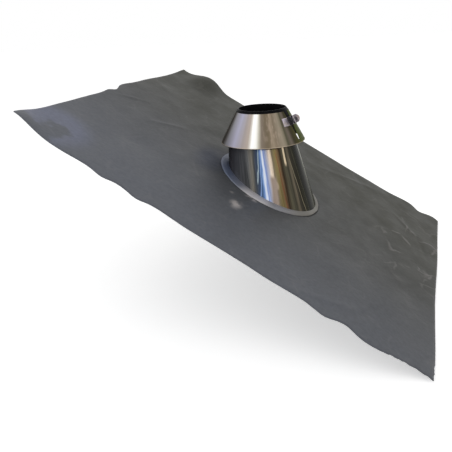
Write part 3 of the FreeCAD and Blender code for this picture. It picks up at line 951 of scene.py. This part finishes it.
def open_lead(bm, sizes):
    """Hole for the cone, with its edge drawn onto the foot's oval."""
    half_length, half_width = foot_halves(sizes, sizes.lead_gap)

    def scaled(vert):
        return Vector(((vert.co.x - sizes.foot_shift) / half_length, vert.co.y / half_width))

    inside = [vert for vert in bm.verts if scaled(vert).length_squared < 1]
    bmesh.ops.delete(bm, geom=inside, context="VERTS")
    for vert in bm.verts:
        at = scaled(vert)
        if vert.is_boundary and at.length < 1.5:
            vert.co = foot_point(sizes, math.atan2(at.y, at.x), sizes.lead_gap)


def dress_lead(bm, form, sizes):
    """Sheet laid on the top of its solid, with its marks clear of the bead and of the cut edge."""
    rest = sizes.lead_lift + sizes.lead_thickness
    for vert in bm.verts:
        at = Vector((vert.co.x, vert.co.y, 0))
        from_foot = math.hypot(at.x - sizes.foot_shift, at.y)
        from_edge = min(MARKED_LENGTH - abs(at.x), MARKED_WIDTH - abs(at.y))
        clear = smooth_step((from_foot - UNMARKED_RADIUS) / UNMARKED_FADE)
        marks = marks_height(at) * clear * smooth_step(from_edge / MARKED_FADE)
        vert.co.z = form.top(at, rest) + marks


class FLASHING_OT_lead_apron(bpy.types.Operator):
    """Dressed lead sheet with its hand-cut edge, creases and dents"""

    bl_idname = "flashing.lead_apron"
    bl_label = "Lead apron"

    def execute(self, context):
        sizes, finish = context.scene.flashing_sizes, context.scene.flashing_finish
        roof = roof_frame(sizes)
        form = LeadForm(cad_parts["lead_apron"], roof)
        bm = bmesh.new()
        stretch_lead(bm, form, sizes)
        open_lead(bm, sizes)
        dress_lead(bm, form, sizes)
        bmesh.ops.transform(bm, matrix=roof, verts=bm.verts)
        face_outward(bm, lambda face: face.normal.z)
        piece = finish_piece(bm, "lead_sheet", "lead_apron", lead_material(sizes, finish))
        add_wall(piece, sizes.lead_thickness)
        return {"FINISHED"}


# ---- cone and bead

# Steps round the cone and the bead, and up the cone's wall.
ROUND_STEPS, RISE_STEPS = 192, 24
# Widths of flange at which it starts to turn up, and the share of the wall's rise that the bend takes.
FLANGE_STEPS, BEND_SHARE = (0.012, 0.002), 0.012
# How much the bead's lumps lower its crown and draw in its edge, as shares of its height and radius.
LUMP_SINK, LUMP_DRAW = 0.10, 0.012


class FLASHING_OT_cone(bpy.types.Operator):
    """Polished oblique cone with its flange under the lead"""

    bl_idname = "flashing.cone"
    bl_label = "Polished cone"

    def execute(self, context):
        sizes, finish = context.scene.flashing_sizes, context.scene.flashing_finish
        roof = roof_frame(sizes)
        roof_inverse = roof.inverted()

        def flange_ring(width):
            return lambda turn: foot_point(sizes, turn, width, sizes.cone_wall)

        def wall_ring(share):
            return lambda turn: foot_point(sizes, turn).lerp(rim_point(sizes, turn, roof_inverse), share)

        rings = [flange_ring(width) for width in (sizes.flange_reach, *FLANGE_STEPS)]
        rings += [
            wall_ring(BEND_SHARE + (1 - BEND_SHARE) * step / RISE_STEPS) for step in range(RISE_STEPS + 1)
        ]
        bm = bmesh.new()
        loft(bm, ROUND_STEPS, rings)
        wrap_uv(bm)
        bmesh.ops.transform(bm, matrix=roof, verts=bm.verts)
        face_outward(bm, away_from_flue)
        piece = finish_piece(bm, "steel_cone", "flashing_cone", polished_material(finish))
        add_wall(piece, sizes.cone_wall)
        return {"FINISHED"}


class FLASHING_OT_bead(bpy.types.Operator):
    """Hand-wiped bead that seals the cone's foot to the lead"""

    bl_idname = "flashing.bead"
    bl_label = "Soldered bead"

    def execute(self, context):
        sizes, finish = context.scene.flashing_sizes, context.scene.flashing_finish
        roof = roof_frame(sizes)
        roof_inverse = roof.inverted()
        seat = sizes.lead_lift + sizes.lead_thickness + sizes.clearance

        def on_cone(turn, level):
            foot, rim = foot_point(sizes, turn), rim_point(sizes, turn, roof_inverse)
            return foot.lerp(rim, level / rim.z)

        def outer(turn, height, uneven):
            radius = sizes.bead_radius * uneven
            return Vector((sizes.bead_middle + radius * math.cos(turn), radius * math.sin(turn), height))

        def dome(angle):
            reach, rise = math.cos(angle), math.sin(angle)

            def ring(turn):
                around = Vector((math.cos(turn), math.sin(turn), 0))
                lumps = abs(noise.noise(around * 3.1)) + 0.5 * abs(noise.noise(around * 11))
                level = seat + sizes.bead_height * rise * (1 - LUMP_SINK * lumps)
                at = on_cone(turn, level).lerp(outer(turn, level, 1 - LUMP_DRAW * lumps), reach)
                at.z = level
                return at
            return ring

        rings = [lambda turn: outer(turn, seat, 0.985)]
        rings += [dome(math.radians(4 + 86 * step / 12)) for step in range(13)]
        rings.append(lambda turn: on_cone(turn, seat))
        bm = bmesh.new()
        loops = loft(bm, ROUND_STEPS, rings)
        bmesh.ops.bridge_loops(bm, edges=loops[0] + loops[-1])
        bmesh.ops.transform(bm, matrix=roof, verts=bm.verts)
        tidy_shell(bm)
        finish_piece(bm, "solder_bead", "foot_bead", bead_material(finish), sharp=60)
        return {"FINISHED"}


# ---- collar, seal and clamp

def spin_collar(bm, sizes, rows=20, steps=220):
    """Cone of sheet spun nearly once round, whose first and last rows are the split's two edges."""
    low = Vector((sizes.collar_foot_radius, 0, sizes.collar_rim - sizes.collar_height))
    high = Vector((sizes.collar_rim_radius, 0, sizes.collar_rim))
    line = [bm.verts.new(low.lerp(high, row / rows)) for row in range(rows + 1)]
    edges = [bm.edges.new(pair) for pair in zip(line, line[1:])]
    swept = 2 * math.pi * (1 - 1 / (steps + 1))
    bmesh.ops.spin(bm, geom=line + edges, cent=(0, 0, 0), axis=(0, 0, 1), angle=swept, steps=steps)
    for vert in bm.verts:
        radius = math.hypot(vert.co.x, vert.co.y)
        share = (math.atan2(vert.co.y, vert.co.x) % (2 * math.pi)) / swept
        share = 0.0 if share > 1.001 else share
        rise = (vert.co.z - low.z) / sizes.collar_height
        gap = (sizes.split_foot + (sizes.split_top - sizes.split_foot) * rise) / radius
        turn = sizes.split_angle + gap / 2 + share * (2 * math.pi - gap)
        vert.co.x, vert.co.y = radius * math.cos(turn), radius * math.sin(turn)


class FLASHING_OT_collar(bpy.types.Operator):
    """Storm collar of brushed sheet, split down one side"""

    bl_idname = "flashing.collar"
    bl_label = "Storm collar"

    def execute(self, context):
        sizes, finish = context.scene.flashing_sizes, context.scene.flashing_finish
        bm = bmesh.new()
        spin_collar(bm, sizes)
        face_outward(bm, away_from_flue)
        bmesh.ops.solidify(bm, geom=bm.faces[:], thickness=sizes.collar_sheet)
        steel = brushed_material(sizes, finish)
        piece = finish_piece(bm, "collar_sheet", "storm_collar", steel)
        add_edge_round(piece, sizes.sheet_edge)
        return {"FINISHED"}


def join_into(bm, part):
    """Add a finished part to the piece."""
    mesh = bpy.data.meshes.new("part")
    part.to_mesh(mesh)
    part.free()
    bm.from_mesh(mesh)
    bpy.data.meshes.remove(mesh)


def add_strap(bm, sizes, side):
    """Length of strap on the collar's face, on the far (1) or near (-1) side of the split."""
    half = sizes.ear_length / 2
    strap = bmesh.new()
    verts = [
        strap.verts.new(clamp_point(sizes, along, out))
        for along, out in ((half, 0.0), (half, sizes.strap_sheet), (-half, sizes.strap_sheet), (-half, 0.0))
    ]
    face = strap.faces.new(verts)
    gap = math.asin(sizes.strap_gap / 2 / clamp_point(sizes, 0, 0).x)
    start = Matrix.Rotation(sizes.split_angle + side * gap, 3, "Z")
    bmesh.ops.rotate(strap, cent=(0, 0, 0), matrix=start, verts=strap.verts)
    bmesh.ops.spin(
        strap, geom=[face], cent=(0, 0, 0), axis=(0, 0, 1),
        angle=side * (sizes.strap_span / 2 - gap), steps=24,
    )
    tidy_shell(strap)
    join_into(bm, strap)


def ear_outline(sizes):
    """Radius at a turn round the screw's hole for an ear's rounded outline."""
    half_out = (sizes.ear_reach + sizes.ear_root) / 2
    shift = sizes.screw_reach - (sizes.ear_reach - sizes.ear_root) / 2
    box = rounded_box_outline(half_out, sizes.ear_length / 2, sizes.ear_corner)

    def outline(turn):
        def inside(reach):
            x, y = math.cos(turn) * reach + shift, math.sin(turn) * reach
            return math.hypot(x, y) < box(math.atan2(y, x))
        return last_inside(inside, 0.0, EDGE_SEARCH, tries=24)
    return outline


def add_ear(bm, sizes, side):
    """Ear that stands out beside the split, on its far (1) or near (-1) side, with a hole for the screw."""
    ear = bmesh.new()
    holed_plate(ear, ear_outline(sizes), sizes.screw_radius + sizes.ear_hole_gap, sizes.ear_sheet, 72)
    offset = side * sizes.split_top / 2 + (sizes.ear_sheet if side > 0 else 0)
    at = clamp_point(sizes, 0, sizes.screw_reach)
    place = (
        Matrix.Rotation(sizes.split_angle, 4, "Z") @ Matrix.Translation((at.x, offset, at.z))
        @ Matrix.Rotation(-collar_slope(sizes), 4, "Y") @ Matrix.Rotation(math.radians(90), 4, "X")
    )
    bmesh.ops.transform(ear, matrix=place, verts=ear.verts)
    join_into(bm, ear)


class FLASHING_OT_strap(bpy.types.Operator):
    """Plated strap on the collar's face, with the two ears that the screw draws together"""

    bl_idname = "flashing.strap"
    bl_label = "Clamp strap"

    def execute(self, context):
        sizes, finish = context.scene.flashing_sizes, context.scene.flashing_finish
        bm = bmesh.new()
        add_strap(bm, sizes, 1)
        add_strap(bm, sizes, -1)
        add_ear(bm, sizes, 1)
        plated = len(bm.faces)
        add_ear(bm, sizes, -1)
        # The near ear's flat faces are painted dark as shade; the narrow faces of its edge keep the plating.
        for face in bm.faces[plated:]:
            face.material_index = int(face.calc_area() > sizes.ear_sheet ** 2)
        plating = plated_material("Strap plating", finish.strap_steel, finish.strap_mottle)
        piece = finish_piece(bm, "clamp_strap", "storm_collar", plating)
        piece.data.materials.append(plated_material("Near ear shade", finish.clamp_shade, finish.clamp_shade_mottle))
        add_edge_round(piece, sizes.sheet_edge)
        return {"FINISHED"}


class FLASHING_OT_seal(bpy.types.Operator):
    """Rubber seal in the collar's mouth, with a rounded lip"""

    bl_idname = "flashing.seal"
    bl_label = "Collar seal"

    def execute(self, context):
        sizes, finish = context.scene.flashing_sizes, context.scene.flashing_finish
        bore = sizes.bore_radius
        rim_inside = sizes.collar_rim_radius - sizes.collar_sheet - sizes.clearance
        bm = bmesh.new()
        rounded_lathe(bm, [
            (bore, 0.0),
            (rim_inside + sizes.collar_rim * math.tan(collar_slope(sizes)), 0.0),
            (rim_inside, sizes.collar_rim),
            (rim_inside - sizes.seal_bevel, sizes.collar_rim + 2 * sizes.seal_bevel),
            (bore + sizes.lip_width, SEAL_TOP),
            (bore, SEAL_TOP),
        ], steps=160, rounding=sizes.seal_edge)
        finish_piece(bm, "rubber_seal", "collar_seal", rubber_material(finish), sharp=60)
        return {"FINISHED"}


def screw_outline(sizes, end):
    """Radius and height along the screw: its chamfered end, thread, plain shank and cup head."""
    radius, brim = sizes.screw_radius, sizes.head_brim
    half_pitch = sizes.thread_pitch / 2
    chamfer = 1.5 * half_pitch
    outline = [(0.0, end), (radius - chamfer, end), (radius, end + chamfer)]
    for ridge in range(round(sizes.thread_length / sizes.thread_pitch)):
        foot = end + chamfer + ridge * sizes.thread_pitch
        outline += [(radius - half_pitch, foot + half_pitch), (radius, foot + sizes.thread_pitch)]
    outline += [(radius, -0.0001), (radius, 0.0), (sizes.head_radius - sizes.head_edge, 0.0)]
    for degrees in range(0, 91, 10):
        turn = math.radians(degrees)
        dome = (sizes.head_height - brim) * math.sin(turn)
        outline.append((max(sizes.head_radius * math.cos(turn), 0.0), brim + dome))
    return outline


def make_screw(sizes, finish, ear_face):
    bm = bmesh.new()
    outline = screw_outline(sizes, -2 * ear_face - sizes.nut_height - sizes.screw_end)
    profile = [bm.verts.new((radius, 0, height)) for radius, height in outline]
    edges = [bm.edges.new(pair) for pair in zip(profile, profile[1:])]
    spin_once(bm, profile + edges, 48)
    # Faces below the head, the shank's, take the second material: painted shade.
    for face in bm.faces:
        face.material_index = int(face.calc_center_median().z < 0)
    bmesh.ops.transform(bm, matrix=screw_frame(sizes, ear_face), verts=bm.verts)
    zinc = plated_material("Zinc plating", finish.zinc, finish.zinc_mottle)
    return finish_piece(bm, "cup_screw", "clamp_screw", zinc)


def make_nut(sizes, ear_face, dark):
    bm = bmesh.new()
    hexagon = polygon_outline(6, sizes.nut_radius)
    holed_plate(bm, hexagon, sizes.screw_radius + sizes.clearance, -sizes.nut_height, 48)
    bmesh.ops.transform(bm, matrix=screw_frame(sizes, -ear_face), verts=bm.verts)
    bmesh.ops.recalc_face_normals(bm, faces=bm.faces)
    nut = finish_piece(bm, "hex_nut", "clamp_nut", dark, sharp=25)
    add_edge_round(nut, sizes.nut_edge)


class FLASHING_OT_clamp(bpy.types.Operator):
    """Cup-headed screw and hexagon nut that draw the collar's ears together"""

    bl_idname = "flashing.clamp"
    bl_label = "Clamp screw and nut"

    def execute(self, context):
        sizes, finish = context.scene.flashing_sizes, context.scene.flashing_finish
        ear_face = sizes.split_top / 2 + sizes.ear_sheet + sizes.clearance
        # Painted shade on the screw's shank and on the nut.
        dark = plated_material("Screw and nut shade", finish.clamp_shade, finish.clamp_shade_mottle)
        make_screw(sizes, finish, ear_face).data.materials.append(dark)
        make_nut(sizes, ear_face, dark)
        return {"FINISHED"}


# ---- stage

# Each softbox: name, place, diameter and power.
SOFTBOXES = (
    ("Key softbox", (-1.6, -1.4, 2.2), 2.2, 20.0),
    ("Fill softbox", (2.2, -1.6, 1.4), 2.0, 8.0),
)
SOFTBOX_AIM = Vector((0, 0, -0.15))
# Half the floor's width, and how far under the lowest point it lies.
FLOOR_REACH, FLOOR_GAP = 12.0, 0.002
# Light that the floor adds where it is seen directly, and the room's light on surfaces.
FLOOR_GLOW, ROOM_LIGHT = 0.48, 0.60
CAMERA_PLACE = Vector((0.4194, -1.4462, 0.2578))
# Turn to the right of +Y, tilt down and roll, in radians.
CAMERA_YAW, CAMERA_PITCH, CAMERA_ROLL = -0.3561, 0.3546, -0.0625
CAMERA_LENS, CAMERA_SENSOR = 46.18, 36.0


def floor_material(finish):
    """Pale floor, white where it is seen directly, that keeps its shadows."""
    material, shader = new_material("Studio floor")
    patch = clouds(object_place(shader), scale=0.8, detail=2.0, low=0.0, high=1.0)
    feed(
        shader, Base_Color=mix_colour(patch, finish.floor, finish.floor_patch), Roughness=0.9,
        Emission_Color=as_colour(WHITE), Emission_Strength=times(seen_directly(shader.id_data), FLOOR_GLOW),
    )
    return material


def add_floor(finish):
    bm = bmesh.new()
    bmesh.ops.create_grid(bm, x_segments=1, y_segments=1, size=FLOOR_REACH)
    bmesh.ops.translate(bm, vec=(0, 0, CAD_BOX[0].z - FLOOR_GAP), verts=bm.verts)
    add_object(bm, "studio_floor", floor_material(finish))


def add_world(scene):
    world = bpy.data.worlds.new("Studio")
    world.use_nodes = True
    tree = world.node_tree
    strength = plus(times(seen_directly(tree), 1 - ROOM_LIGHT), ROOM_LIGHT)
    feed(tree.nodes["Background"], Color=as_colour(WHITE), Strength=strength)
    scene.world = world


def add_softbox(scene, name, place, size, power):
    data = bpy.data.lights.new(name, "AREA")
    data.shape = "DISK"
    data.size = size
    data.energy = power
    lamp = bpy.data.objects.new(name, data)
    lamp.location = place
    lamp.rotation_euler = (SOFTBOX_AIM - Vector(place)).to_track_quat("-Z", "Y").to_euler()
    scene.collection.objects.link(lamp)


def add_camera(scene):
    data = bpy.data.cameras.new("View")
    data.sensor_width = CAMERA_SENSOR
    data.lens = CAMERA_LENS
    camera = bpy.data.objects.new("View", data)
    camera.matrix_world = (
        Matrix.Translation(CAMERA_PLACE) @ Matrix.Rotation(-CAMERA_YAW, 4, "Z")
        @ Matrix.Rotation(math.pi / 2 - CAMERA_PITCH, 4, "X") @ Matrix.Rotation(CAMERA_ROLL, 4, "Z")
    )
    scene.collection.objects.link(camera)
    scene.camera = camera


class FLASHING_OT_stage(bpy.types.Operator):
    """Pale floor, soft studio light and the camera"""

    bl_idname = "flashing.stage"
    bl_label = "Stage"

    def execute(self, context):
        scene = context.scene
        scene.view_settings.view_transform = "Standard"
        add_floor(scene.flashing_finish)
        add_world(scene)
        for softbox in SOFTBOXES:
            add_softbox(scene, *softbox)
        add_camera(scene)
        return {"FINISHED"}


class FLASHING_PT_panel(bpy.types.Panel):
    bl_idname = "FLASHING_PT_panel"
    bl_label = "Pipe flashing boot"
    bl_space_type = "VIEW_3D"
    bl_region_type = "UI"
    bl_category = "Flashing"

    def draw(self, context):
        layout = self.layout
        for operator in PIECES:
            layout.operator(operator.bl_idname)
        for group in (context.scene.flashing_sizes, context.scene.flashing_finish):
            box = layout.box()
            for key in group.bl_rna.properties.keys():
                if key not in {"rna_type", "name"}:
                    box.prop(group, key)


PIECES = (
    FLASHING_OT_lead_apron, FLASHING_OT_cone, FLASHING_OT_bead, FLASHING_OT_collar,
    FLASHING_OT_strap, FLASHING_OT_seal, FLASHING_OT_clamp, FLASHING_OT_stage,
)
CLASSES = (FLASHING_PG_sizes, FLASHING_PG_finish, *PIECES, FLASHING_PT_panel)


def register():
    for cls in CLASSES:
        bpy.utils.register_class(cls)
    bpy.types.Scene.flashing_sizes = PointerProperty(type=FLASHING_PG_sizes)
    bpy.types.Scene.flashing_finish = PointerProperty(type=FLASHING_PG_finish)


def unregister():
    del bpy.types.Scene.flashing_finish
    del bpy.types.Scene.flashing_sizes
    for cls in reversed(CLASSES):
        bpy.utils.unregister_class(cls)


def main():
    register()
    for operator in PIECES:
        package, name = operator.bl_idname.split(".")
        getattr(getattr(bpy.ops, package), name)()


if __name__ == "__main__":
    main()
